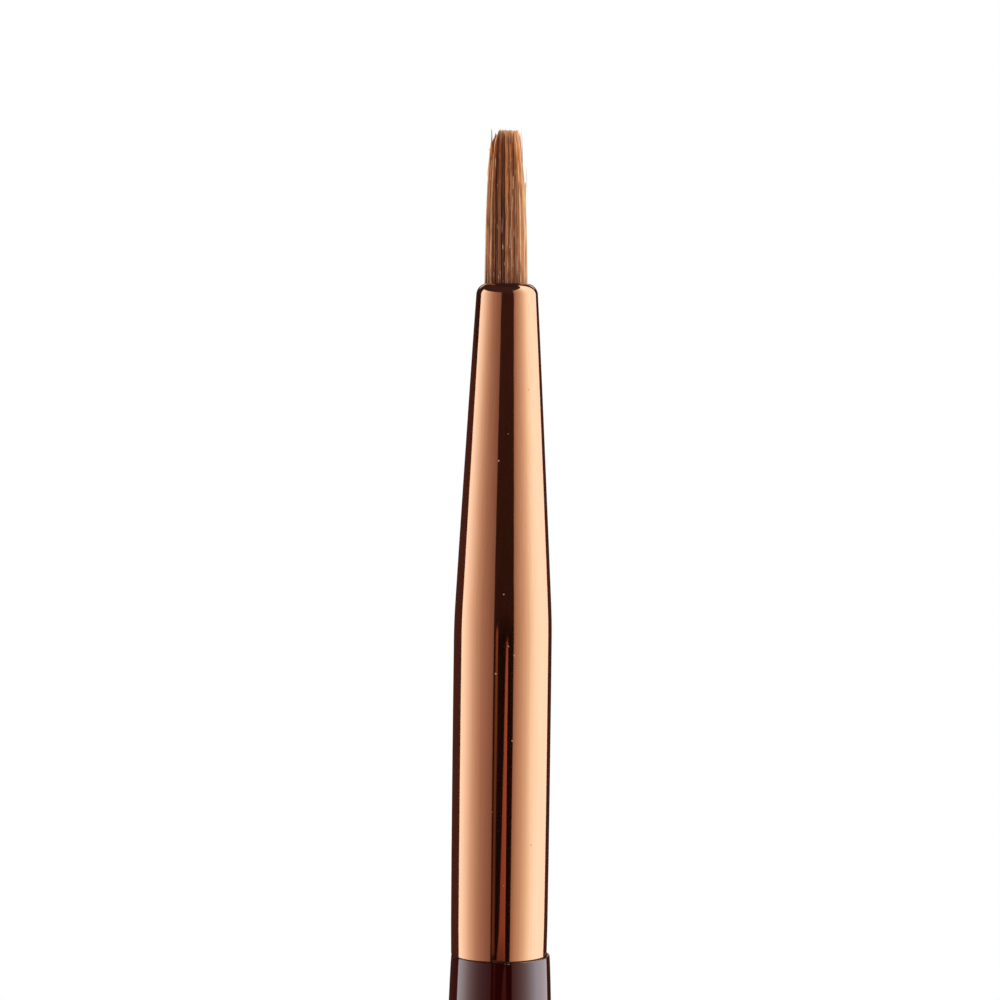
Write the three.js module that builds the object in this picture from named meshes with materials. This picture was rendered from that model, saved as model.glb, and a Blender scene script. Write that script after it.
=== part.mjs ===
// Fine detail brush: a lacquered wooden handle, a plated metal ferrule and a small tuft of hair.
// Millimetres, +Z from the butt of the handle to the tip of the hair. The origin is the lowest
// point of the butt. X is the wide way of the slightly flattened tuft and Y is its thin way.
import * as THREE from 'three';

// Heights along the brush.
const HANDLE_LENGTH = 137.3; // from the butt to the lower rim of the ferrule
const FERRULE_LENGTH = 30.67;
const TUFT_LENGTH = 7.03; // hair that stands out of the ferrule
const MOUTH_Z = HANDLE_LENGTH + FERRULE_LENGTH;

// Ferrule: a drawn tube, almost straight behind and tapered in front, with a rolled lip.
const FERRULE_RADIUS = 2.235; // where the taper begins
const FERRULE_REAR_RADIUS = 2.19;
const FERRULE_TAPER_LENGTH = 15.37;
const FERRULE_BREAK_LENGTH = 0.8; // the soft break between straight and tapered
const FERRULE_WALL = 0.3;
const FERRULE_EDGE_RADIUS = 0.03;
const LIP_OUTER_RADIUS = 1.405; // where the taper meets the roll of the lip
const LIP_ROLL_RADIUS = 0.55;
const LIP_ROLL_TURN = 72; // degrees that the lip has rolled inwards where the mouth hole ends it
const LIP_HEIGHT = LIP_ROLL_RADIUS * Math.sin(THREE.MathUtils.degToRad(LIP_ROLL_TURN));
const MOUTH_HOLE_RADIUS = 1.0;
const LIP_THROAT_LENGTH = 0.9;

// Handle: thin at the ferrule, thickest a little behind it, then a long taper to a round butt.
const BUTT_RADIUS = 1.73;
const BUTT_LENGTH = 2.3;
const SHOULDER_RADIUS = 2.255;
const LACQUER_EDGE_RADIUS = 0.04;
const LACQUER_THICKNESS = 0.12;
const SWELL = [ // [distance behind the ferrule, radius of the lacquered handle]
  [0.5, 2.312],
  [2.0, 2.388],
  [10.0, 2.47],
  [24.5, 2.61],
  [46.0, 2.42],
  [90.0, 2.07],
];
const SWELL_STEPS = 26;

// The joint between handle and ferrule.
const TENON_LENGTH = 9.5;
const TENON_GLUE_THICKNESS = 0.1;
const SEAM_GAP = 0.025;
const FIT_GAP = 0.03; // left between pieces that are glued or poured together

// The bound roots inside the ferrule.
const ROOT_DEPTH = 9.0; // below the mouth
const ROOT_RADIUS = 1.1;
const RESIN_DEPTH = 12.0;
const THREAD_RADIUS = 0.07;
const THREAD_TURNS = 6;
const THREAD_DEPTH = 7.2;

// The tuft: half-widths of its section at the mouth, and the hinge line that it bends about.
const TUFT_HALF_WIDTH = 0.93;
const TUFT_HALF_THICKNESS = 0.62;
const TIP_NARROWING = 0.38; // how much of its width the tuft has lost at the cut
const TIP_THINNING = 0.34;
const TIP_CROWN = 0.42; // how much lower the outer hair ends than the core
const BEND_HEIGHT = 0.5; // hinge height above the mouth
const ROOT_DOME_RADIUS = 1.0;
const LOCK_FOOT_RADIUS = 1.08;
const LOCK_STEPS = 7;
const INNER_LOCKS = 6;
const OUTER_LOCKS = 12;
const CORE_REACH = 0.24; // parts of the tuft's half-width
const INNER_REACH = 0.62;
const LOCK_GAP = 0.03;
const LOCK_TRIM = 0.05; // how unevenly the locks are cut
const HAIR_COLOR = 0xb9773f;

const ROUND_SEGMENTS = 32;

const brush = new THREE.Group();
brush.name = 'fine_detail_brush';

function addPiece(name, geometry, color, roughness, metalness = 0) {
  const material = new THREE.MeshStandardMaterial({ color, roughness, metalness });
  const mesh = new THREE.Mesh(geometry, material);
  mesh.name = name;
  brush.add(mesh);
  return mesh;
}

// Turns an outline of [radius, height] about Z. It runs up the outside and down the inside.
function turned(outline, segments = ROUND_SEGMENTS) {
  const points = outline.map(([radius, height]) => new THREE.Vector2(radius, height));
  const geometry = new THREE.LatheGeometry(points, segments);
  geometry.rotateX(Math.PI / 2);
  return geometry;
}

// Points on part of an ellipse, from one angle to another.
function arc(centreRadius, centreHeight, reachOut, reachUp, from, to, steps) {
  const points = [];
  for (let i = 0; i <= steps; i += 1) {
    const angle = THREE.MathUtils.degToRad(THREE.MathUtils.lerp(from, to, i / steps));
    points.push([
      centreRadius + reachOut * Math.cos(angle),
      centreHeight + reachUp * Math.sin(angle),
    ]);
  }
  return points;
}

// Outside radius of the ferrule at a depth below its mouth.
function ferruleRadius(depth) {
  const along = (depth - LIP_HEIGHT) / (FERRULE_TAPER_LENGTH - LIP_HEIGHT);
  return THREE.MathUtils.lerp(LIP_OUTER_RADIUS, FERRULE_RADIUS, Math.min(Math.max(along, 0), 1));
}

function ferruleBore(depth) {
  return ferruleRadius(depth) - FERRULE_WALL;
}

function ferrule() {
  const edge = FERRULE_EDGE_RADIUS;
  const lower = HANDLE_LENGTH + SEAM_GAP;
  const breakZ = MOUTH_Z - FERRULE_TAPER_LENGTH;
  const rollCentre = LIP_OUTER_RADIUS - LIP_ROLL_RADIUS;
  const lip = arc(
    rollCentre, MOUTH_Z - LIP_HEIGHT, LIP_ROLL_RADIUS, LIP_ROLL_RADIUS, 0, LIP_ROLL_TURN, 6,
  );
  const [crestRadius] = lip.at(-1);
  const outline = [
    [FERRULE_REAR_RADIUS - FERRULE_WALL, lower],
    ...arc(FERRULE_REAR_RADIUS - edge, lower + edge, edge, edge, -90, 0, 3),
    [FERRULE_RADIUS, breakZ - FERRULE_BREAK_LENGTH],
    [FERRULE_RADIUS - 0.012, breakZ],
    [ferruleRadius(FERRULE_TAPER_LENGTH - FERRULE_BREAK_LENGTH), breakZ + FERRULE_BREAK_LENGTH],
    ...lip,
    [MOUTH_HOLE_RADIUS, MOUTH_Z - (crestRadius - MOUTH_HOLE_RADIUS)],
    [MOUTH_HOLE_RADIUS, MOUTH_Z - LIP_THROAT_LENGTH],
    [ferruleBore(2 * LIP_THROAT_LENGTH), MOUTH_Z - 2 * LIP_THROAT_LENGTH],
    [ferruleBore(FERRULE_TAPER_LENGTH), MOUTH_Z - FERRULE_TAPER_LENGTH],
    [FERRULE_REAR_RADIUS - FERRULE_WALL, lower],
  ];
  return turned(outline);
}

// The side of the handle from the butt up to the shoulder, moved inwards by an inset.
function handleSide(inset) {
  const stations = [[0, SHOULDER_RADIUS], ...SWELL, [HANDLE_LENGTH - BUTT_LENGTH, BUTT_RADIUS]];
  const points = stations
    .map(([behind, radius]) => new THREE.Vector3(radius - inset, HANDLE_LENGTH - behind, 0))
    .reverse();
  const curve = new THREE.CatmullRomCurve3(points, false, 'centripetal');
  return curve.getSpacedPoints(SWELL_STEPS).map((point) => [point.x, point.y]);
}

function butt(inset) {
  return arc(0, BUTT_LENGTH, BUTT_RADIUS - inset, BUTT_LENGTH - inset, -90, 0, 8).slice(0, -1);
}

function handleLacquer() {
  const edge = LACQUER_EDGE_RADIUS;
  const outer = [[0, 0], ...butt(0).slice(1), ...handleSide(0).slice(0, -1)];
  const inner = [[0, LACQUER_THICKNESS], ...butt(LACQUER_THICKNESS).slice(1)];
  inner.push(...handleSide(LACQUER_THICKNESS));
  const shoulder = arc(SHOULDER_RADIUS - edge, HANDLE_LENGTH - edge, edge, edge, 0, 90, 3);
  return turned([...outer, ...shoulder, ...inner.reverse()]);
}

function handleCore() {
  const inset = LACQUER_THICKNESS + FIT_GAP;
  const tenon = FERRULE_REAR_RADIUS - FERRULE_WALL - TENON_GLUE_THICKNESS - 2 * FIT_GAP;
  const tip = HANDLE_LENGTH + TENON_LENGTH;
  const chamfer = 0.4;
  return turned([
    [0, inset],
    ...butt(inset).slice(1),
    ...handleSide(inset),
    [tenon, HANDLE_LENGTH],
    [tenon, tip - chamfer],
    [tenon - chamfer, tip],
    [0, tip],
  ]);
}

function tenonGlue() {
  const outside = FERRULE_REAR_RADIUS - FERRULE_WALL - FIT_GAP;
  const inside = outside - TENON_GLUE_THICKNESS;
  const low = HANDLE_LENGTH + SEAM_GAP;
  const high = HANDLE_LENGTH + TENON_LENGTH - 0.6;
  return turned([[inside, low], [outside, low], [outside, high], [inside, high], [inside, low]]);
}

// The line of hardened glue in the seam between the lacquered shoulder and the ferrule's rim.
function seamGlue() {
  const margin = 0.005;
  const inside = FERRULE_REAR_RADIUS - FERRULE_WALL;
  const outside = FERRULE_REAR_RADIUS - FERRULE_EDGE_RADIUS;
  const low = HANDLE_LENGTH + margin;
  const high = HANDLE_LENGTH + SEAM_GAP - margin;
  return turned([[inside, low], [outside, low], [outside, high], [inside, high], [inside, low]]);
}

// Resin poured behind the roots, with a dished back.
function settingResin() {
  const front = MOUTH_Z - ROOT_DEPTH - FIT_GAP;
  const back = MOUTH_Z - RESIN_DEPTH;
  const dish = 0.5;
  return turned([
    [0, back + dish],
    [0.6 * ferruleBore(RESIN_DEPTH), back + 0.4 * dish],
    [ferruleBore(RESIN_DEPTH) - FIT_GAP, back],
    [ferruleBore(ROOT_DEPTH) - FIT_GAP, front],
    [0, front],
  ]);
}

class Helix extends THREE.Curve {
  constructor(radius, low, pitch, turns) {
    super();
    Object.assign(this, { radius, low, pitch, turns });
  }

  getPoint(t, target = new THREE.Vector3()) {
    const angle = 2 * Math.PI * this.turns * t;
    const height = this.low + this.pitch * this.turns * t;
    return target.set(this.radius * Math.cos(angle), this.radius * Math.sin(angle), height);
  }
}

function bindingThread() {
  const sides = 6;
  const section = new THREE.Shape();
  for (let i = 0; i < sides; i += 1) {
    const angle = (2 * Math.PI * i) / sides;
    const corner = [THREAD_RADIUS * Math.cos(angle), THREAD_RADIUS * Math.sin(angle)];
    if (i === 0) section.moveTo(...corner);
    else section.lineTo(...corner);
  }
  const pitch = 2.4 * THREAD_RADIUS;
  const radius = ROOT_RADIUS + THREAD_RADIUS + FIT_GAP;
  const extrudePath = new Helix(radius, MOUTH_Z - THREAD_DEPTH, pitch, THREAD_TURNS);
  return new THREE.ExtrudeGeometry(section, { extrudePath, steps: 18 * THREAD_TURNS });
}

// Moves every vertex of a geometry through a function of its place.
function warped(geometry, move) {
  const places = geometry.attributes.position;
  const vertex = new THREE.Vector3();
  for (let i = 0; i < places.count; i += 1) {
    move(vertex.fromBufferAttribute(places, i));
    places.setXYZ(i, vertex.x, vertex.y, vertex.z);
  }
  geometry.deleteAttribute('normal');
  geometry.deleteAttribute('uv');
  return geometry;
}

// Height of a ball about the hinge line's middle, over a point of the tuft's section.
function ballHeight(radius, x, y) {
  return MOUTH_Z + BEND_HEIGHT + Math.sqrt(radius * radius - x * x - y * y);
}

// The roots of all the hair: round where they are bound, flattened at the mouth, and ending
// in a dome just outside it, which the feet of the free locks turn over.
function hairRootBundle() {
  const rings = 8;
  const outline = [[0, 0]];
  for (let i = 0; i <= rings; i += 1) outline.push([1, i / rings]);
  outline.push([0.8, 1], [0.55, 1], [0.3, 1], [0, 1]);
  const back = MOUTH_Z - ROOT_DEPTH;
  return warped(turned(outline, 24), (vertex) => {
    const along = vertex.z;
    const flattening = THREE.MathUtils.smoothstep(along, 0.45, 0.9);
    vertex.x *= THREE.MathUtils.lerp(ROOT_RADIUS, TUFT_HALF_WIDTH, flattening);
    vertex.y *= THREE.MathUtils.lerp(ROOT_RADIUS, TUFT_HALF_THICKNESS, flattening);
    const dome = ballHeight(ROOT_DOME_RADIUS, vertex.x, vertex.y);
    vertex.z = along > 0.999 ? dome : back + along * ROOT_DEPTH;
  });
}

// Outline of one lock of a ring, on a unit disc, between two distances from the middle.
function ringLockOutline(from, to, index, count, outerSteps) {
  const pitch = (2 * Math.PI) / count;
  const start = index * pitch + LOCK_GAP / (from + to);
  const end = (index + 1) * pitch - LOCK_GAP / (from + to);
  const at = (reach, angle) => new THREE.Vector2(reach * Math.cos(angle), reach * Math.sin(angle));
  const corners = [at(from, end), at(from, start)];
  for (let i = 0; i <= outerSteps; i += 1) {
    corners.push(at(to, THREE.MathUtils.lerp(start, end, i / outerSteps)));
  }
  return new THREE.Shape(corners);
}

function coreLockOutline() {
  const corners = [];
  for (let i = 0; i < INNER_LOCKS; i += 1) {
    const angle = (2 * Math.PI * i) / INNER_LOCKS;
    corners.push(new THREE.Vector2(CORE_REACH * Math.cos(angle), CORE_REACH * Math.sin(angle)));
  }
  return new THREE.Shape(corners);
}

// A lock of hair: its outline drawn out over the length of the tuft, narrowed towards the cut
// tip, with a foot that clears the dome of the roots. Reach is how far from the core it stands.
function hairLock(outline, reach, trim) {
  const options = { depth: 1, steps: LOCK_STEPS, bevelEnabled: false };
  const tip = MOUTH_Z + TUFT_LENGTH - TIP_CROWN * reach * reach - trim;
  return warped(new THREE.ExtrudeGeometry(outline, options), (vertex) => {
    const along = vertex.z;
    const narrowing = along ** 2.2;
    vertex.x *= TUFT_HALF_WIDTH * (1 - TIP_NARROWING * narrowing);
    vertex.y *= TUFT_HALF_THICKNESS * (1 - TIP_THINNING * narrowing);
    const foot = ballHeight(LOCK_FOOT_RADIUS, vertex.x, vertex.y);
    vertex.z = THREE.MathUtils.lerp(foot, tip, along);
  });
}

function addHair() {
  const inner = CORE_REACH + LOCK_GAP;
  const outer = INNER_REACH + LOCK_GAP;
  addPiece('hair_lock_core', hairLock(coreLockOutline(), 0, 0), HAIR_COLOR, 0.6);
  for (let i = 0; i < INNER_LOCKS; i += 1) {
    const outline = ringLockOutline(inner, INNER_REACH, i, INNER_LOCKS, 2);
    const trim = LOCK_TRIM * (1 + Math.sin(2.4 * i));
    addPiece(`hair_lock_inner_${i + 1}`, hairLock(outline, 0.45, trim), HAIR_COLOR, 0.6);
  }
  for (let i = 0; i < OUTER_LOCKS; i += 1) {
    const outline = ringLockOutline(outer, 1, i, OUTER_LOCKS, 2);
    const trim = LOCK_TRIM * (1 + Math.sin(3.7 * i));
    addPiece(`hair_lock_outer_${i + 1}`, hairLock(outline, 0.9, trim), HAIR_COLOR, 0.6);
  }
}

addPiece('handle_core', handleCore(), 0xcfa678, 0.75);
addPiece('handle_lacquer', handleLacquer(), 0x3a0a0c, 0.15);
addPiece('tenon_glue', tenonGlue(), 0xd8c690, 0.4);
addPiece('seam_glue', seamGlue(), 0x4a2a18, 0.35);
addPiece('ferrule', ferrule(), 0xc98a5e, 0.2, 1);
addPiece('setting_resin', settingResin(), 0xb58a3c, 0.25);
addPiece('hair_root_bundle', hairRootBundle(), 0x7a4a28, 0.7);
addPiece('binding_thread', bindingThread(), 0xe6dcc4, 0.8);
addHair();

export default brush;
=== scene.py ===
"""Fine detail brush in the CAD frame: lacquered handle, copper-toned ferrule, tuft of hair."""
import math

import bpy
import numpy as np
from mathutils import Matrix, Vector

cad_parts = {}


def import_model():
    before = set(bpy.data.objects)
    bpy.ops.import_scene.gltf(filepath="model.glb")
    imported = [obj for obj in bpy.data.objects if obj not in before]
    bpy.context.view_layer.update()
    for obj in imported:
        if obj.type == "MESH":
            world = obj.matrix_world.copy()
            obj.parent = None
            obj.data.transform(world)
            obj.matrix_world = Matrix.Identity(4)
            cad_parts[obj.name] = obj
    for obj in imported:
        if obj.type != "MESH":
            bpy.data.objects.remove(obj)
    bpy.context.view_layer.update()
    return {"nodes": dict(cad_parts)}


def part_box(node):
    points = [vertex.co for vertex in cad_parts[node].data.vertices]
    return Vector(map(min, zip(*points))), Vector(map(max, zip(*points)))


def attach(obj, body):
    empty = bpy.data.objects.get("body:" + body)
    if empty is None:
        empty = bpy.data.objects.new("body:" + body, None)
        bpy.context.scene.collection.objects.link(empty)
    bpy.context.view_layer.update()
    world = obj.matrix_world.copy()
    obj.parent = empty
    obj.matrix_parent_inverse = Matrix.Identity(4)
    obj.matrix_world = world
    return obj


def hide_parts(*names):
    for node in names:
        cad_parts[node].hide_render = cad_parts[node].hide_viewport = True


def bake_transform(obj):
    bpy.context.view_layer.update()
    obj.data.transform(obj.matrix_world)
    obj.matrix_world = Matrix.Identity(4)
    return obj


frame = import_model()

MM = 0.001

# Heights in the CAD model that the pieces below are placed by.
MOUTH_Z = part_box("ferrule")[1].z
SEAM_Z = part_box("handle_lacquer")[1].z
TIP_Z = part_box("hair_lock_core")[1].z
TUFT_LENGTH = TIP_Z - MOUTH_Z

# Camera: close to the head of the brush, tipped down a little.
CAMERA_DISTANCE = 150 * MM
CAMERA_BELOW_MOUTH = 3.97 * MM
TARGET_BELOW_MOUTH = 9.84 * MM
CAMERA_ASIDE = -0.207 * MM
CAMERA_ROLL = math.radians(0.72)
VIEW_WIDTH = 45.54 * MM      # seen across the view, at the brush
SENSOR_WIDTH = 36.0

# Light and stage.
SOFTBOX_DISTANCE = 0.45
SOFTBOX_STEPS = 24
SOFTBOX_FOOT = -0.35         # the lower edge of the large softboxes and walls
WALL_TOP = 0.19
WALL_STRENGTH = 0.06
ROOM_LIGHT = (0.8, 0.8, 0.8, 1.0)
TABLE_RADIUS = 0.5
TABLE_FADES_FROM = 0.12      # distances from the brush between which the table fades out
TABLE_FADES_TO = 0.45

# Turned pieces.
TURNED_SEGMENTS = 128
ON_AXIS = 1e-7               # radii below this are a point on the axis
OUTLINE_STEPS = 5            # smooth steps between two rings of the CAD outline
HANDLE_ASIDE = 0.075 * MM    # the handle is glued in slightly off the ferrule's axis

# Dust on the ferrule, and the painted shade, a dark patch, at the front of its mouth.
DUST_CELL = 0.45             # millimetres between places where a speck may lie
DUST_SHARE = 0.2             # how many of those places have one
MOUTH_SHADE_LOW = 0.17 * MM        # its lower end, below the mouth
MOUTH_SHADE_EDGE = 0.04 * MM
MOUTH_SHADE_HALF_WIDTH = 0.60 * MM
MOUTH_SHADE_SIDE_EDGE = 0.12 * MM
MOUTH_SHADE_SLOPE = 1.5            # how much it narrows on each side for every step down

# Hair.
HAIR_COUNT = 350
HAIR_SIDES = 7
HAIR_STEPS = 18
HAIR_RADIUS = 0.040 * MM
HAIR_ROOT_DEPTH = 1.6 * MM   # how far the hair is modelled down into the ferrule
BACKLIT_FROM = 0.84             # from this part of the tuft's length up, hair is painted paler, as painted backlight through the thin ends
BACKLIT_TONE = 0.13
DARKEST = 0.07
PALEST = 0.9                 # the palest tone of the combed hairs; strays may be paler
LOCK_TONES = 0.08            # how far the tone of a lock may be from the tuft's
HAIR_TONES = 0.24            # how much the tones of its hairs vary
HAIR_PLACES = 0.014          # how unevenly hairs stand, in parts of the half-width
DRAWN_TOGETHER = 0.12        # how far at most a hair is drawn towards the middle of its lock
CUT_ROUNDING = 0.55          # how far the last ring of a hair is drawn in, to round its end
TUFT_WIDE = 0.945 * MM       # half-width at the mouth
TUFT_THIN = 0.60 * MM        # half-thickness, without the fuller foot at the mouth
ROOTS_BELOW_MOUTH = 0.35 * MM
ROOTS_RADIUS = 0.9 * MM
ROOT_ROWS = 12
ROOT_FLUTES = 40
INNER_RING = 0.24            # where the rings of locks begin, in parts of the half-width
OUTER_RING = 0.62
INNER_LOCKS = 6
OUTER_LOCKS = 12
GOLDEN_ANGLE = math.pi * (3 - math.sqrt(5))

# Smears of glue at the seam.
SMEAR_SIDES = 14
SMEAR_RINGS = 7

random = np.random.default_rng(11)


# ---------------------------------------------------------------- node materials

def material(name, roughness, **constants):
    """A Principled material, with its constants set on the shader's own sockets."""
    made = bpy.data.materials.new(name)
    made.use_nodes = True
    shader = made.node_tree.nodes["Principled BSDF"]
    shader.inputs["Roughness"].default_value = roughness
    for socket, value in constants.items():
        shader.inputs[socket.replace("_", " ")].default_value = value
    return made, shader


def node(made, kind, inputs=None, **settings):
    """A node with its settings, and with its inputs set to values or linked to other outputs."""
    new = made.node_tree.nodes.new(kind)
    for key, value in settings.items():
        setattr(new, key, value)
    for socket, value in (inputs or {}).items():
        if isinstance(value, bpy.types.NodeSocket):
            made.node_tree.links.new(value, new.inputs[socket])
        else:
            new.inputs[socket].default_value = value
    return new


def link(made, output, target):
    made.node_tree.links.new(output, target)


def ramp(made, factor, stops):
    """A colour ramp through (position, colour) stops."""
    new = node(made, "ShaderNodeValToRGB", {"Fac": factor})
    elements = new.color_ramp.elements
    while len(elements) < len(stops):
        elements.new(0.5)
    for element, (position, color) in zip(elements, stops):
        element.position = position
        element.color = (*color, 1.0)
    return new.outputs["Color"]


def stretched(made, scale):
    """Object coordinates in millimetres, stretched along each axis."""
    place = node(made, "ShaderNodeTexCoord").outputs["Object"]
    moved = node(made, "ShaderNodeMapping", {"Vector": place, "Scale": [s / MM for s in scale]})
    return moved.outputs["Vector"]


def bump(made, shader, height, distance, strength=1.0):
    inputs = {"Height": height, "Distance": distance, "Strength": strength}
    link(made, node(made, "ShaderNodeBump", inputs).outputs["Normal"], shader.inputs["Normal"])


def noise(made, scale, size, detail=2.0):
    inputs = {"Vector": stretched(made, scale), "Scale": size, "Detail": detail}
    return node(made, "ShaderNodeTexNoise", inputs).outputs["Fac"]


def mixed(made, factor, first, second, blend_type="MIX"):
    """Two colours mixed or multiplied by a factor."""
    new = made.node_tree.nodes.new("ShaderNodeMix")
    new.data_type = "RGBA"
    new.blend_type = blend_type
    # The Mix node has sockets for every data type, and 6 and 7 are those for colours.
    slots = {0: factor, 6: first, 7: second}
    for index, value in slots.items():
        if isinstance(value, bpy.types.NodeSocket):
            made.node_tree.links.new(value, new.inputs[index])
        else:
            new.inputs[index].default_value = value
    return new.outputs[2]


def specks(made, cell, share):
    """1 on small grains of dust, about one in every few cells of a size in millimetres, else 0."""
    place = stretched(made, (1.0, 1.0, 1.0))
    cells = node(made, "ShaderNodeTexVoronoi", {"Vector": place, "Scale": 1 / cell}).outputs
    grain = node(made, "ShaderNodeMapRange", {
        "Value": cells["Distance"],
        "From Min": 0.05, "From Max": 0.10, "To Min": 1.0, "To Max": 0.0,
    }).outputs["Result"]
    pick = node(made, "ShaderNodeMath", {0: cells["Color"], 1: share}, operation="LESS_THAN")
    both = {0: grain, 1: pick.outputs["Value"]}
    return node(made, "ShaderNodeMath", both, operation="MULTIPLY").outputs["Value"]


def mouth_painted_shade(made):
    """1 on the painted shade at the front of the ferrule's mouth, which narrows downwards, else 0.
    """
    place = node(made, "ShaderNodeTexCoord").outputs["Object"]
    parts = node(made, "ShaderNodeSeparateXYZ", {"Vector": place}).outputs
    high = node(made, "ShaderNodeMapRange", {
        "Value": parts["Z"],
        "From Min": MOUTH_Z - MOUTH_SHADE_LOW,
        "From Max": MOUTH_Z - MOUTH_SHADE_LOW + MOUTH_SHADE_EDGE,
    })
    aside = node(made, "ShaderNodeMath", {0: parts["X"]}, operation="ABSOLUTE")
    sloped = node(made, "ShaderNodeMath", {
        0: parts["Z"], 1: -MOUTH_SHADE_SLOPE, 2: aside.outputs["Value"],
    }, operation="MULTIPLY_ADD")
    limit = MOUTH_SHADE_HALF_WIDTH - MOUTH_SHADE_SLOPE * MOUTH_Z
    front = node(made, "ShaderNodeMapRange", {
        "Value": sloped.outputs["Value"],
        "From Min": limit, "From Max": limit + MOUTH_SHADE_SIDE_EDGE, "To Min": 1.0, "To Max": 0.0,
    })
    both = {0: high.outputs["Result"], 1: front.outputs["Result"]}
    return node(made, "ShaderNodeMath", both, operation="MULTIPLY").outputs["Value"]


def plating():
    """Copper-toned plating: faint lines along the tube, a slow change of tone, a few dust specks
    and painted shade, dark and not metallic, at the front where the hair comes out."""
    made, shader = material("copper_plating", 0.1, Specular_IOR_Level=0.05)
    lines = noise(made, (14.0, 14.0, 0.12), 1.0, 4.0)
    tone = ramp(made, lines, [(0.3, (0.87, 0.56, 0.34)), (0.7, (0.92, 0.61, 0.38))])
    dust = specks(made, DUST_CELL, DUST_SHARE)
    dusty = mixed(made, dust, tone, (0.60, 0.42, 0.30, 1.0))
    # Painted shade at the front of the mouth: dark and not metallic, where the hair comes out.
    painted_shade = mouth_painted_shade(made)
    link(made, mixed(made, painted_shade, dusty, (0.035, 0.012, 0.008, 1.0)), shader.inputs["Base Color"])
    unshaded = node(made, "ShaderNodeMapRange", {
        "Value": painted_shade, "From Min": 0.8, "To Min": 1.0, "To Max": 0.0,
    })
    clean = node(made, "ShaderNodeMath", {0: 1.0, 1: dust}, operation="SUBTRACT")
    metal = {0: unshaded.outputs["Result"], 1: clean.outputs["Value"]}
    metal = node(made, "ShaderNodeMath", metal, operation="MULTIPLY")
    link(made, metal.outputs["Value"], shader.inputs["Metallic"])
    gloss = node(made, "ShaderNodeMapRange", {"Value": lines, "To Min": 0.04, "To Max": 0.10})
    dull = node(made, "ShaderNodeMath", {0: gloss.outputs["Result"], 1: dust}, operation="MAXIMUM")
    link(made, dull.outputs["Value"], shader.inputs["Roughness"])
    bump(made, shader, lines, 0.0005 * MM)
    return made


def lacquer():
    """Burgundy-brown gloss lacquer over wood, with a slight waviness from dipping."""
    made, shader = material(
        "burgundy_lacquer", 0.07, IOR=1.6, Specular_Tint=(1.0, 0.8, 1.0, 1.0),
        Coat_Roughness=0.03, Coat_IOR=2.2,
    )
    facing = node(made, "ShaderNodeLayerWeight", {"Blend": 0.5}).outputs["Facing"]
    gloss = node(made, "ShaderNodeMapRange", {"Value": facing, "From Max": 0.32, "To Min": 0.14})
    link(made, gloss.outputs["Result"], shader.inputs["Coat Weight"])
    mottle = noise(made, (0.5, 0.5, 0.06), 1.0, 3.0)
    tone = ramp(made, mottle, [(0.3, (0.014, 0.0007, 0.0007)), (0.75, (0.030, 0.0016, 0.0015))])
    link(made, tone, shader.inputs["Base Color"])
    bump(made, shader, noise(made, (0.9, 0.9, 0.12), 1.0, 1.0), 0.004 * MM)
    return made


def hair_material():
    """Golden-brown hair: each hair has its own tone, with painted shade and a greyer tone at the
    root, painted backlight that makes it pale at the cut, darker stretches, and short painted
    glints along it."""
    made, shader = material("golden_brown_hair", 0.38, Specular_IOR_Level=0.4)
    tone = node(made, "ShaderNodeAttribute", attribute_name="tone").outputs["Fac"]
    along = node(made, "ShaderNodeAttribute", attribute_name="along").outputs["Fac"]
    own = ramp(made, tone, [
        (0.0, (0.08, 0.024, 0.009)),
        (0.35, (0.38, 0.138, 0.052)),
        (0.7, (0.82, 0.40, 0.16)),
        (0.9, (0.95, 0.65, 0.34)),
        (1.0, (1.0, 0.84, 0.60)),
    ])
    # Painted light and shade along each hair: darker and greyer at the root, brighter and warmer
    # towards the cut.
    shade = ramp(made, along, [
        (0.0, (0.80, 0.78, 0.90)),
        (0.12, (1.05, 1.02, 1.15)),
        (0.5, (1.0, 0.97, 1.0)),
        (0.84, (1.05, 0.88, 0.68)),
        (0.93, (1.12, 1.0, 0.88)),
    ])
    dull = ramp(made, noise(made, (14.0, 14.0, 0.9), 1.0, 3.0), [
        (0.3, (0.42, 0.38, 0.36)),
        (0.5, (1.0, 1.0, 1.0)),
        (0.65, (1.2, 1.2, 1.2)),
    ])
    shaded = mixed(made, 1.0, mixed(made, 1.0, own, shade, "MULTIPLY"), dull, "MULTIPLY")
    # Painted glints: short pale streaks mixed into the colour.
    glints = noise(made, (18.0, 18.0, 1.6), 1.0, 1.0)
    glint = ramp(made, glints, [(0.66, (0.0, 0.0, 0.0)), (0.72, (0.7, 0.7, 0.7))])
    glinting = mixed(made, glint, shaded, (0.95, 0.62, 0.44, 1.0))
    # Painted backlight: the hair is mixed towards a bright pale colour at its cut end.
    backlit_tips = ramp(made, along, [
        (0.925, (0.0, 0.0, 0.0)),
        (0.965, (0.12, 0.12, 0.12)),
        (0.978, (0.3, 0.3, 0.3)),
        (0.988, (0.85, 0.85, 0.85)),
    ])
    link(made, mixed(made, backlit_tips, glinting, (1.25, 0.72, 0.47, 1.0)), shader.inputs["Base Color"])
    return made


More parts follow.
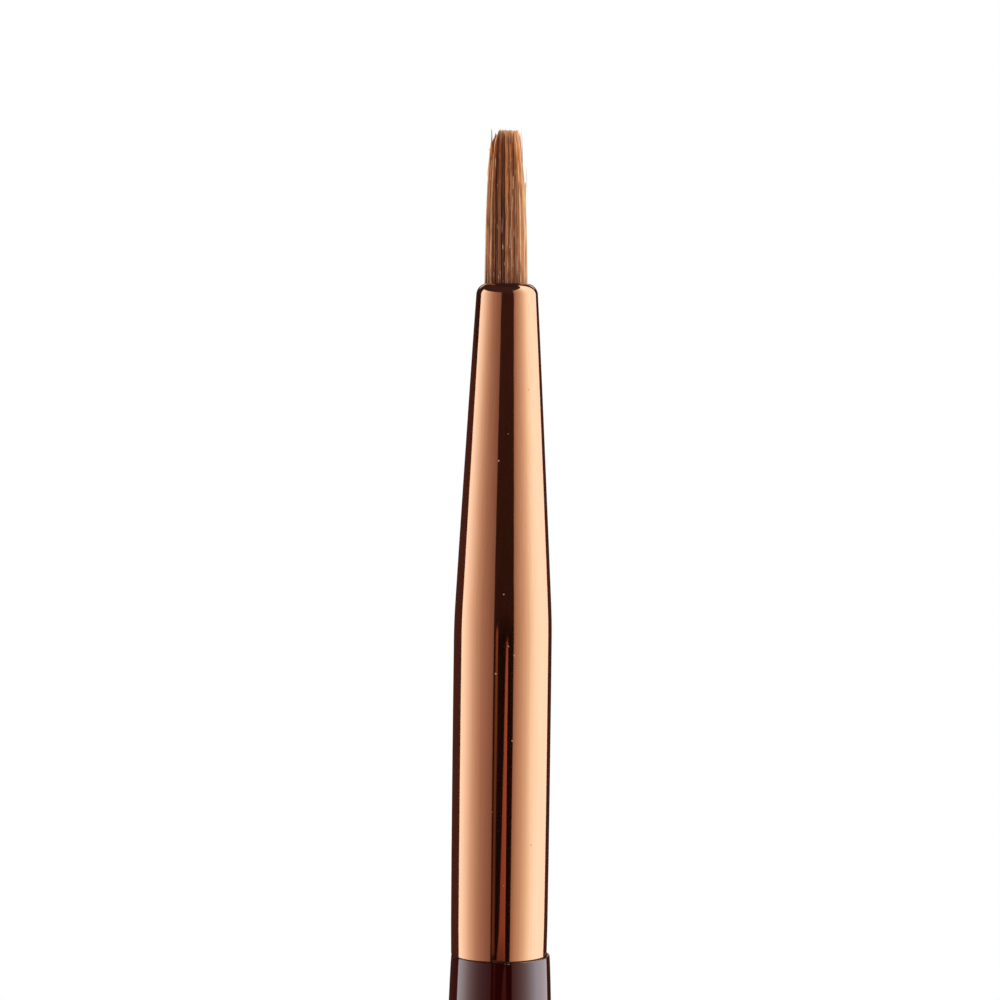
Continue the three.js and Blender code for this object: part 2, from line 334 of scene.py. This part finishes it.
def residue():
    """Spilt glue at the seam: each smear has its own tone, from dark brown to pale tan."""
    made, shader = material("glue_residue", 0.6, Specular_IOR_Level=0.2)
    tone = node(made, "ShaderNodeAttribute", attribute_name="tone").outputs["Fac"]
    own = ramp(made, tone, [(0.0, (0.05, 0.004, 0.001)), (1.0, (0.46, 0.33, 0.26))])
    clouds = noise(made, (6.0, 6.0, 6.0), 1.0, 3.0)
    cloud = ramp(made, clouds, [(0.3, (0.55, 0.55, 0.55)), (0.7, (1.0, 1.0, 1.0))])
    link(made, mixed(made, 1.0, own, cloud, "MULTIPLY"), shader.inputs["Base Color"])
    bump(made, shader, clouds, 0.02 * MM)
    return made


def wood():
    """Straight-grained pale wood."""
    made, shader = material("bare_wood", 0.7)
    grain = noise(made, (3.0, 3.0, 0.08), 1.0, 5.0)
    tone = ramp(made, grain, [(0.3, (0.42, 0.25, 0.12)), (0.7, (0.66, 0.46, 0.26))])
    link(made, tone, shader.inputs["Base Color"])
    bump(made, shader, grain, 0.02 * MM)
    return made


def glue(name, dark, light, roughness):
    """Hardened glue or resin with small changes of tone and an uneven surface."""
    made, shader = material(name, roughness, Coat_Weight=0.4)
    clouds = noise(made, (2.5, 2.5, 2.5), 1.0, 3.0)
    link(made, ramp(made, clouds, [(0.35, dark), (0.7, light)]), shader.inputs["Base Color"])
    bump(made, shader, clouds, 0.02 * MM)
    return made


def thread():
    """Waxed thread with its fibres lying across it."""
    made, shader = material("waxed_thread", 0.6)
    fibres = noise(made, (6.0, 6.0, 30.0), 1.0, 3.0)
    tone = ramp(made, fibres, [(0.3, (0.55, 0.48, 0.36)), (0.7, (0.80, 0.74, 0.60))])
    link(made, tone, shader.inputs["Base Color"])
    bump(made, shader, fibres, 0.01 * MM)
    return made


# ---------------------------------------------------------------- meshes

def new_piece(name, vertices, faces, look):
    mesh = bpy.data.meshes.new(name)
    mesh.from_pydata(vertices, [], faces)
    mesh.validate()
    mesh.update()
    mesh.shade_smooth()
    mesh.materials.append(look)
    piece = bpy.data.objects.new(name, mesh)
    bpy.context.scene.collection.objects.link(piece)
    return piece


def cad_rings(name, outside):
    """[(radius, height)] of a turned CAD node's outside or inside, from the bottom up."""
    mesh = frame["nodes"][name].data
    rings = {}
    for face in mesh.polygons:
        outward = face.normal.x * face.center.x + face.normal.y * face.center.y > 0
        if outward != outside:
            continue
        for index in face.vertices:
            place = mesh.vertices[index].co
            height = round(place.z, 7)
            radius = math.hypot(place.x, place.y)
            rings[height] = max(rings.get(height, 0.0), radius)
    return [(radius, height) for height, radius in sorted(rings.items())]


def smooth_outline(points, steps):
    """A centripetal Catmull-Rom curve through the points of an outline."""
    points = [np.array(p) for p in points]
    ends = [2 * points[0] - points[1], *points, 2 * points[-1] - points[-2]]
    made = []
    for a, b, c, d in zip(ends, ends[1:], ends[2:], ends[3:]):
        knots = [0.0]
        for start, stop in ((a, b), (b, c), (c, d)):
            knots.append(knots[-1] + max(np.linalg.norm(stop - start), 1e-9) ** 0.5)
        for t in np.linspace(knots[1], knots[2], steps, endpoint=False):
            row, width = [a, b, c, d], 1
            while len(row) > 1:
                row = [
                    ((knots[i + width] - t) * row[i] + (t - knots[i]) * row[i + 1])
                    / (knots[i + width] - knots[i])
                    for i in range(len(row) - 1)
                ]
                width += 1
            made.append(row[0])
    # Each stretch has left out its last point, which is the first of the next.
    made.append(points[-1])
    return [(max(float(r), 0.0), float(z)) for r, z in made]


def turned(name, outline, look, aside=0.0):
    """A closed piece turned about Z from an outline whose ends are on the axis or meet."""
    vertices, faces, rings = [], [], []
    for radius, height in outline:
        if radius < ON_AXIS:
            rings.append([len(vertices)] * TURNED_SEGMENTS)
            vertices.append((aside, 0.0, height))
            continue
        rings.append(list(range(len(vertices), len(vertices) + TURNED_SEGMENTS)))
        for i in range(TURNED_SEGMENTS):
            angle = 2 * math.pi * i / TURNED_SEGMENTS
            vertices.append((aside + radius * math.cos(angle), radius * math.sin(angle), height))
    if rings[0][0] != rings[0][1]:
        rings.append(rings[0])
    for low, high in zip(rings, rings[1:]):
        for i in range(TURNED_SEGMENTS):
            j = (i + 1) % TURNED_SEGMENTS
            corners = dict.fromkeys((low[i], low[j], high[j], high[i]))
            faces.append(tuple(corners))
    return new_piece(name, vertices, faces, look)


def tubes(name, hairs, look):
    """One closed tube for each hair: (points, radii, tone), with tone and along as attributes."""
    vertices, faces, tones, alongs = [], [], [], []
    for points, radii, tone in hairs:
        first = len(vertices)
        rings = len(points)
        for ring, (point, radius) in enumerate(zip(points, radii)):
            for side in range(HAIR_SIDES):
                angle = 2 * math.pi * side / HAIR_SIDES
                out = Vector((math.cos(angle), math.sin(angle), 0.0)) * radius
                vertices.append(Vector(point) + out)
                along = max((point[2] - MOUTH_Z) / TUFT_LENGTH, 0.0)
                # Painted backlight: the tone is lifted towards the cut.
                backlit = max(along - BACKLIT_FROM, 0.0) / (1 - BACKLIT_FROM)
                tones.append(min(tone + BACKLIT_TONE * backlit, max(tone, PALEST)))
                alongs.append(along)
        for ring in range(rings - 1):
            for side in range(HAIR_SIDES):
                a = first + ring * HAIR_SIDES + side
                b = first + ring * HAIR_SIDES + (side + 1) % HAIR_SIDES
                faces.append((a, b, b + HAIR_SIDES, a + HAIR_SIDES))
        faces.append(tuple(first + side for side in reversed(range(HAIR_SIDES))))
        last = first + (rings - 1) * HAIR_SIDES
        faces.append(tuple(last + side for side in range(HAIR_SIDES)))
    piece = new_piece(name, vertices, faces, look)
    for attribute, values in (("tone", tones), ("along", alongs)):
        layer = piece.data.attributes.new(attribute, "FLOAT", "POINT")
        layer.data.foreach_set("value", np.array(values, np.float32))
    return piece


# ---------------------------------------------------------------- hair

def tuft_half_widths(along):
    """Half-widths of the tuft across X and Y, from the mouth (0) to the cut (1)."""
    wide = TUFT_WIDE * (1 - 0.08 * along - 0.33 * along ** 3.6)
    thin = TUFT_THIN * (1 + 0.4 * (1 - along) ** 6 - 0.08 * along - 0.26 * along ** 3)
    return wide, thin


def tuft_middle(along):
    """The tuft stands a little to one side of the mouth and leans that way."""
    return -(0.055 + 0.11 * along ** 1.5) * MM


def lock_of(u, v):
    """(name of the CAD lock, middle of the lock) for a place in the tuft's section."""
    reach, angle = math.hypot(u, v), math.atan2(v, u) % (2 * math.pi)
    if reach < INNER_RING:
        return "hair_lock_core", (0.0, 0.0)
    ring, count, middle = ("outer", OUTER_LOCKS, (1 + OUTER_RING) / 2)
    if reach < OUTER_RING:
        ring, count, middle = ("inner", INNER_LOCKS, (INNER_RING + OUTER_RING) / 2)
    index = int(angle / (2 * math.pi) * count)
    turn = 2 * math.pi * (index + 0.5) / count
    return f"hair_lock_{ring}_{index + 1}", (middle * math.cos(turn), middle * math.sin(turn))


def hair_path(u, v, top, sway):
    """Points of one hair from inside the ferrule to its cut end. The sway is (how far, phase,
    number of bends, share of it that goes across Y)."""
    points = []
    for height in np.linspace(MOUTH_Z - HAIR_ROOT_DEPTH, top, HAIR_STEPS):
        along = max((height - MOUTH_Z) / TUFT_LENGTH, 0.0)
        wide, thin = tuft_half_widths(along)
        swing = sway[0] * along * math.sin(sway[1] + sway[2] * along)
        x = tuft_middle(along) + u * wide + swing
        y = v * thin + swing * sway[3]
        points.append((x, y, height))
    return points


def hair_radii(radius):
    """Even along the hair, thinner towards the cut, with a rounded end."""
    along = np.linspace(0.0, 1.0, HAIR_STEPS)
    radii = radius * (1.0 - 0.22 * along ** 3)
    radii[-1] *= CUT_ROUNDING
    return radii


def cut_height(u, v):
    """Where a hair ends: the cut is straight, but worn away at one side of the tuft."""
    drop = 0.045 + 1.2 * max(-u - 0.5, 0.0) + 0.5 * max(u - 0.95, 0.0) + 0.2 * v * v
    drop += random.uniform(0.0, 0.09)
    if abs(u) < 0.75:
        drop += 0.6 * random.random() ** 8
    return TIP_Z - drop * MM


def painted_light_across(u):
    """Painted light and shade across the tuft, put into each hair's tone: dark off the middle,
    light at the right.
    """
    return 0.3 + 0.54 * u + 0.62 * u ** 2 - 0.37 * u ** 3 - 0.15 * u ** 4


def comb_hairs():
    """{CAD lock: its hairs}, packed evenly and drawn together a little within each lock."""
    locks = {}
    lock_tones = {}
    for i in range(HAIR_COUNT):
        reach = math.sqrt((i + 0.5) / HAIR_COUNT)
        angle = i * GOLDEN_ANGLE
        u, v = reach * math.cos(angle), reach * math.sin(angle)
        name, middle = lock_of(u, v)
        lock_tone = lock_tones.setdefault(name, random.uniform(-LOCK_TONES, LOCK_TONES))
        together = random.uniform(0.0, DRAWN_TOGETHER)
        u += together * (middle[0] - u) + random.normal(0, HAIR_PLACES)
        v += together * (middle[1] - v) + random.normal(0, HAIR_PLACES)
        top = cut_height(u, v)
        sway = (random.normal(0, 0.02) * MM, random.uniform(0, 6.3), random.uniform(1, 5), 0.6)
        # Each hair's tone: painted light and shade across the tuft, its lock's tone and its own
        # random tone.
        tone = painted_light_across(u) + lock_tone + random.normal(0, HAIR_TONES)
        tone = min(max(tone, DARKEST), PALEST)
        radius = HAIR_RADIUS * random.uniform(0.75, 1.2)
        hair = (hair_path(u, v, top, sway), hair_radii(radius), tone)
        locks.setdefault(name, []).append(hair)
    return locks


def stray_hairs():
    """Single hairs that stand away from the tuft or lie loose on it: (points, radii, tone)."""
    strays = []
    # Millimetres from the middle of the mouth.
    for start, end, bow, radius, tone in (
        ((-0.80, -0.25, 5.7), (-0.80, -0.20, 7.00), 0.02, 0.026, 0.5),
        ((-0.79, -0.22, 5.6), (-0.79, -0.18, 6.68), 0.0, 0.030, 0.35),
        ((-0.71, -0.42, 5.9), (-0.605, -0.42, 6.80), -0.03, 0.024, 0.1),
        ((-0.66, -0.45, 5.9), (-0.535, -0.44, 6.70), -0.05, 0.024, 0.75),
        ((-0.82, 0.0, 5.8), (-0.885, 0.0, 6.10), 0.0, 0.018, 0.3),
        ((-0.965, 0.0, 4.9), (-0.865, 0.0, 6.0), 0.0, 0.010, 0.9),
        ((0.61, -0.10, 5.5), (0.55, -0.10, 6.92), 0.02, 0.008, 0.2),
        # A real stray at the right edge, made palest as painted backlight.
        ((0.63, -0.05, 5.0), (0.475, -0.05, 6.82), 0.02, 0.036, 1.0),
        ((0.80, 0.0, 2.6), (0.765, 0.0, 4.6), 0.0, 0.03, 0.88),
        ((0.83, 0.05, 4.4), (0.78, 0.05, 5.3), 0.01, 0.008, 0.9),
        ((0.22, -0.57, 5.1), (0.19, -0.48, 6.80), 0.0, 0.022, 0.0),
        ((0.058, -0.54, 6.3), (0.052, -0.49, 6.78), 0.0, 0.020, 0.1),
        # The next three are pale hairs laid on the front as painted glints.
        ((0.205, -0.59, 4.27), (0.207, -0.585, 4.85), 0.0, 0.012, 0.95),
        ((0.098, -0.71, 1.6), (0.10, -0.68, 2.6), 0.0, 0.009, 0.95),
        ((0.453, -0.70, 0.4), (0.45, -0.62, 1.31), 0.0, 0.009, 0.95),
    ):
        points = []
        for t in np.linspace(0.0, 1.0, HAIR_STEPS):
            place = [a + (b - a) * t for a, b in zip(start, end)]
            place[0] += bow * math.sin(math.pi * t)
            points.append((place[0] * MM, place[1] * MM, MOUTH_Z + place[2] * MM))
        strays.append((points, hair_radii(radius * MM), tone))
    return strays


def add_hair(look):
    for name, hairs in sorted(comb_hairs().items()):
        piece = tubes(name.replace("_lock", ""), hairs, look)
        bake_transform(piece)
        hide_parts(name)
    strays = tubes("stray_hairs", stray_hairs(), look)
    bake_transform(strays)


def add_roots(look):
    """The bound roots inside the ferrule, grooved where the hairs lie side by side."""
    low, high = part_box("hair_root_bundle")[0].z, MOUTH_Z - ROOTS_BELOW_MOUTH
    columns = 4 * ROOT_FLUTES
    vertices, faces = [], []
    for row in range(ROOT_ROWS + 1):
        height = low + (high - low) * row / ROOT_ROWS
        for column in range(columns):
            angle = 2 * math.pi * column / columns
            radius = ROOTS_RADIUS * (1 - 0.05 * abs(math.sin(ROOT_FLUTES * angle / 2)))
            vertices.append((radius * math.cos(angle), radius * math.sin(angle), height))
    for row in range(ROOT_ROWS):
        for column in range(columns):
            a, b = row * columns + column, row * columns + (column + 1) % columns
            faces.append((a, b, b + columns, a + columns))
    faces.append(tuple(reversed(range(columns))))
    faces.append(tuple(ROOT_ROWS * columns + column for column in range(columns)))
    roots = new_piece("hair_roots", vertices, faces, look)
    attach(roots, "brush")
    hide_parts("hair_root_bundle")


# ---------------------------------------------------------------- spilt glue

def add_residue():
    """Smears of glue at the seam, flattened onto the surface."""
    vertices, faces, tones = [], [], []
    # Degrees from the camera's side, then millimetres, with heights counted from the seam.
    for azimuth, above, radius, wide, tall, thick, tone in (
        (-4.5, 0.05, 2.205, 0.15, 0.085, 0.012, 0.05),
        (3.0, 0.03, 2.205, 0.19, 0.055, 0.012, 0.02),
        (11.5, -0.06, 2.262, 0.09, 0.025, 0.015, 0.45),
        (7.5, -0.05, 2.258, 0.05, 0.02, 0.012, 0.3),
        (84.0, 0.02, 2.25, 0.26, 0.11, 0.06, 0.8),
        (76.0, -0.01, 2.25, 0.20, 0.04, 0.02, 0.35),
        (140.0, 0.0, 2.235, 0.5, 0.03, 0.02, 0.15),
        (-150.0, 0.0, 2.235, 0.4, 0.04, 0.02, 0.25),
    ):
        turn = math.radians(azimuth)
        out = Vector((math.sin(turn), -math.cos(turn), 0.0))
        side = Vector((math.cos(turn), math.sin(turn), 0.0))
        first = len(vertices)
        for ring in range(SMEAR_RINGS + 1):
            lean = math.pi * ring / SMEAR_RINGS
            for step in range(SMEAR_SIDES):
                spin = 2 * math.pi * step / SMEAR_SIDES
                across = wide * math.sin(lean) * math.cos(spin)
                raised = tall * math.sin(lean) * math.sin(spin) * (1 + 0.25 * math.cos(3 * spin))
                curved = math.sqrt(radius * radius - across * across) + thick * math.cos(lean)
                place = (out * curved + side * across) * MM
                vertices.append((place.x, place.y, SEAM_Z + (above + raised) * MM))
                tones.append(tone)
        for ring in range(SMEAR_RINGS):
            low = first + ring * SMEAR_SIDES
            for step in range(SMEAR_SIDES):
                a, b = low + step, low + (step + 1) % SMEAR_SIDES
                faces.append((a, b, b + SMEAR_SIDES, a + SMEAR_SIDES))
    piece = new_piece("glue_residue", vertices, faces, residue())
    layer = piece.data.attributes.new("tone", "FLOAT", "POINT")
    layer.data.foreach_set("value", np.array(tones, np.float32))
    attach(piece, "brush")


# ---------------------------------------------------------------- stage, light and camera

def emitter(name, low, highs, strengths, stops, top_turn=None):
    """A tall curved softbox round the brush, seen only by its light and in reflections.
    Its stops are (azimuth, colour), with azimuths counted from the camera's side and positive
    to its right, and its upper edge runs straight between two heights. Its strength goes from
    one value at its middle to another at its upper edge. top_turn gives other azimuths for the
    two ends of its upper edge, so that it leans."""
    first, last = stops[0][0], stops[-1][0]
    vertices, faces = [], []
    for i in range(SOFTBOX_STEPS + 1):
        across = i / SOFTBOX_STEPS
        for height, (start, stop) in (
            (low, (first, last)),
            (highs[0] + (highs[1] - highs[0]) * across, top_turn or (first, last)),
        ):
            angle = math.radians(start + (stop - start) * across)
            x, y = SOFTBOX_DISTANCE * math.sin(angle), -SOFTBOX_DISTANCE * math.cos(angle)
            vertices.append((x, y, height))
    for i in range(SOFTBOX_STEPS):
        faces.append((2 * i, 2 * i + 1, 2 * i + 3, 2 * i + 2))
    mesh = bpy.data.meshes.new(name)
    mesh.from_pydata(vertices, [], faces)
    for attribute, values in (
        ("across", [i // 2 / SOFTBOX_STEPS for i in range(len(vertices))]),
        ("up", [float(i % 2) for i in range(len(vertices))]),
    ):
        layer = mesh.attributes.new(attribute, "FLOAT", "POINT")
        layer.data.foreach_set("value", values)
    box = bpy.data.objects.new(name, mesh)
    bpy.context.scene.collection.objects.link(box)
    made = bpy.data.materials.new(name)
    made.use_nodes = True
    made.node_tree.nodes.clear()
    across = node(made, "ShaderNodeAttribute", attribute_name="across").outputs["Fac"]
    places = [((azimuth - first) / (last - first), color) for azimuth, color in stops]
    up = node(made, "ShaderNodeAttribute", attribute_name="up").outputs["Fac"]
    strength = node(made, "ShaderNodeMapRange", {
        "Value": up, "From Min": 0.5, "To Min": strengths[0], "To Max": strengths[1],
    }).outputs["Result"]
    color = ramp(made, across, places)
    glow = node(made, "ShaderNodeEmission", {"Color": color, "Strength": strength})
    surface = node(made, "ShaderNodeOutputMaterial")
    link(made, glow.outputs["Emission"], surface.inputs["Surface"])
    mesh.materials.append(made)
    box.visible_camera = False
    box.visible_shadow = False


def softboxes():
    """Two large softboxes, warm at their inner edges, and a low light behind."""
    emitter("right_softbox", SOFTBOX_FOOT, (0.5, 1.2), (1.5, 1.5), [
        (29, (0.22, 0.118, 0.082)),
        (38, (0.32, 0.19, 0.152)),
        (50, (0.41, 0.29, 0.24)),
        (62, (0.55, 0.42, 0.37)),
        (75, (0.70, 0.64, 0.60)),
        (90, (0.84, 0.78, 0.82)),
        (106, (0.88, 0.80, 0.83)),
        (135, (0.82, 0.74, 0.76)),
    ], (23.4, 135))
    emitter("left_softbox", SOFTBOX_FOOT, (0.33, 0.43), (1.5, 1.5), [
        (-21, (0.155, 0.074, 0.056)),
        (-38, (0.212, 0.117, 0.104)),
        (-50, (0.27, 0.157, 0.13)),
        (-62, (0.355, 0.238, 0.205)),
        (-75, (0.49, 0.362, 0.325)),
        (-90, (0.66, 0.56, 0.56)),
        (-104, (0.78, 0.72, 0.74)),
        (-113.5, (0.86, 0.78, 0.78)),
    ])
    emitter("back_softbox", 0.30, (0.42, 0.42), (0.6, 0.6), [
        (150, (1.0, 0.9, 0.75)),
        (210, (1.0, 0.9, 0.75)),
    ])


def walls():
    """Dim reddish walls beside and behind the brush."""
    tops, strengths = (WALL_TOP, WALL_TOP), (WALL_STRENGTH, WALL_STRENGTH)
    emitter("right_wall", SOFTBOX_FOOT, tops, strengths, [
        (135, (1.0, 0.28, 0.2)),
        (180, (1.0, 0.3, 0.25)),
    ])
    emitter("left_wall", SOFTBOX_FOOT, tops, strengths, [
        (-113.5, (1.0, 0.28, 0.2)),
        (-180, (1.0, 0.4, 0.35)),
    ])


def strips():
    """Two low red strips in front, which lean and show as thin streaks in the ferrule."""
    emitter("warm_strip", -0.1, (0.118, 0.118), (0.145, 0.52), [
        (-22, (0.75, 0.19, 0.12)),
        (8, (0.77, 0.20, 0.13)),
        (14, (0.95, 0.26, 0.17)),
        (18.6, (0.95, 0.25, 0.16)),
    ], (8.7, 12.2))
    emitter("dim_strip", 0.02, (0.137, 0.137), (0.105, 0.235), [
        (-21, (0.17, 0.03, 0.02)),
        (-17.9, (0.17, 0.03, 0.02)),
        (-17, (1.0, 0.30, 0.15)),
        (-12, (1.0, 0.30, 0.15)),
        (-10.4, (0.3, 0.06, 0.04)),
    ], (-17.4, -10.8))


def floor():
    """A pale round table that fades out into the white behind it."""
    bpy.ops.mesh.primitive_circle_add(vertices=96, radius=TABLE_RADIUS, fill_type="NGON")
    table = bpy.context.object
    table.name = "table"
    made = bpy.data.materials.new("table")
    made.use_nodes = True
    shader = made.node_tree.nodes["Principled BSDF"]
    shader.inputs["Base Color"].default_value = (0.86, 0.86, 0.86, 1.0)
    shader.inputs["Roughness"].default_value = 0.9
    place = node(made, "ShaderNodeTexCoord").outputs["Object"]
    distance = node(made, "ShaderNodeVectorMath", {0: place}, operation="LENGTH").outputs["Value"]
    inputs = {"Value": distance, "From Min": TABLE_FADES_FROM, "From Max": TABLE_FADES_TO}
    fade = node(made, "ShaderNodeMapRange", inputs, interpolation_type="SMOOTHSTEP")
    clear = node(made, "ShaderNodeBsdfTransparent")
    blended = node(made, "ShaderNodeMixShader", {0: fade.outputs["Result"]})
    link(made, shader.outputs["BSDF"], blended.inputs[1])
    link(made, clear.outputs["BSDF"], blended.inputs[2])
    output = made.node_tree.nodes["Material Output"]
    link(made, blended.outputs["Shader"], output.inputs["Surface"])
    table.data.materials.append(made)
    table.visible_glossy = False


def world():
    """White behind everything, soft light all round, and in reflections a dark reddish room
    that is darkest below the horizon."""
    scene = bpy.context.scene
    scene.world = bpy.data.worlds.new("studio")
    scene.world.use_nodes = True
    background = scene.world.node_tree.nodes["Background"]
    rays = node(scene.world, "ShaderNodeLightPath")
    direction = node(scene.world, "ShaderNodeTexCoord").outputs["Generated"]
    height = node(scene.world, "ShaderNodeSeparateXYZ", {"Vector": direction}).outputs["Z"]
    level = node(scene.world, "ShaderNodeMapRange", {"Value": height, "From Min": -1.0})
    room = ramp(scene.world, level.outputs["Result"], [
        (0.47, (0.008, 0.002, 0.002)),
        (0.51, (0.024, 0.007, 0.005)),
        (0.58, (0.038, 0.014, 0.013)),
        (0.80, (0.042, 0.020, 0.018)),
    ])
    unseen = mixed(scene.world, rays.outputs["Is Glossy Ray"], ROOM_LIGHT, room)
    color = mixed(scene.world, rays.outputs["Is Camera Ray"], unseen, (1.0, 1.0, 1.0, 1.0))
    link(scene.world, color, background.inputs["Color"])
    scene.view_settings.view_transform = "Standard"


def camera():
    data = bpy.data.cameras.new("camera")
    data.sensor_width = SENSOR_WIDTH
    data.lens = SENSOR_WIDTH * CAMERA_DISTANCE / VIEW_WIDTH
    data.clip_start = 10 * MM
    eye = bpy.data.objects.new("camera", data)
    bpy.context.scene.collection.objects.link(eye)
    target = Vector((CAMERA_ASIDE, 0.0, MOUTH_Z - TARGET_BELOW_MOUTH))
    eye.location = (CAMERA_ASIDE, -CAMERA_DISTANCE, MOUTH_Z - CAMERA_BELOW_MOUTH)
    aim = (target - eye.location).to_track_quat("-Z", "Y")
    eye.rotation_euler = aim.to_euler()
    eye.rotation_euler.rotate_axis("Z", CAMERA_ROLL)
    bpy.context.scene.camera = eye


# ---------------------------------------------------------------- the brush

camera()
world()
floor()
softboxes()
walls()
strips()

add_hair(hair_material())
add_roots(glue("bound_roots", (0.02, 0.008, 0.004), (0.06, 0.025, 0.012), 0.6))
add_residue()

outside = smooth_outline(cad_rings("handle_lacquer", True), OUTLINE_STEPS)
inside = smooth_outline(cad_rings("handle_lacquer", False), 1)
handle = turned("lacquered_handle", outside + inside[::-1], lacquer(), HANDLE_ASIDE)
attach(handle, "brush")
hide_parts("handle_lacquer")

outside = smooth_outline(cad_rings("ferrule", True), OUTLINE_STEPS)
inside = cad_rings("ferrule", False)
tube = turned("ferrule_tube", outside + inside[::-1], plating())
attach(tube, "brush")
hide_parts("ferrule")

for name, look in {
    "handle_core": wood(),
    "tenon_glue": glue("tenon_glue", (0.45, 0.32, 0.14), (0.62, 0.48, 0.24), 0.35),
    "seam_glue": glue("seam_glue", (0.05, 0.02, 0.01), (0.20, 0.10, 0.05), 0.3),
    "setting_resin": glue("setting_resin", (0.35, 0.2, 0.06), (0.5, 0.3, 0.1), 0.2),
    "binding_thread": thread(),
}.items():
    frame["nodes"][name].data.materials.clear()
    frame["nodes"][name].data.materials.append(look)
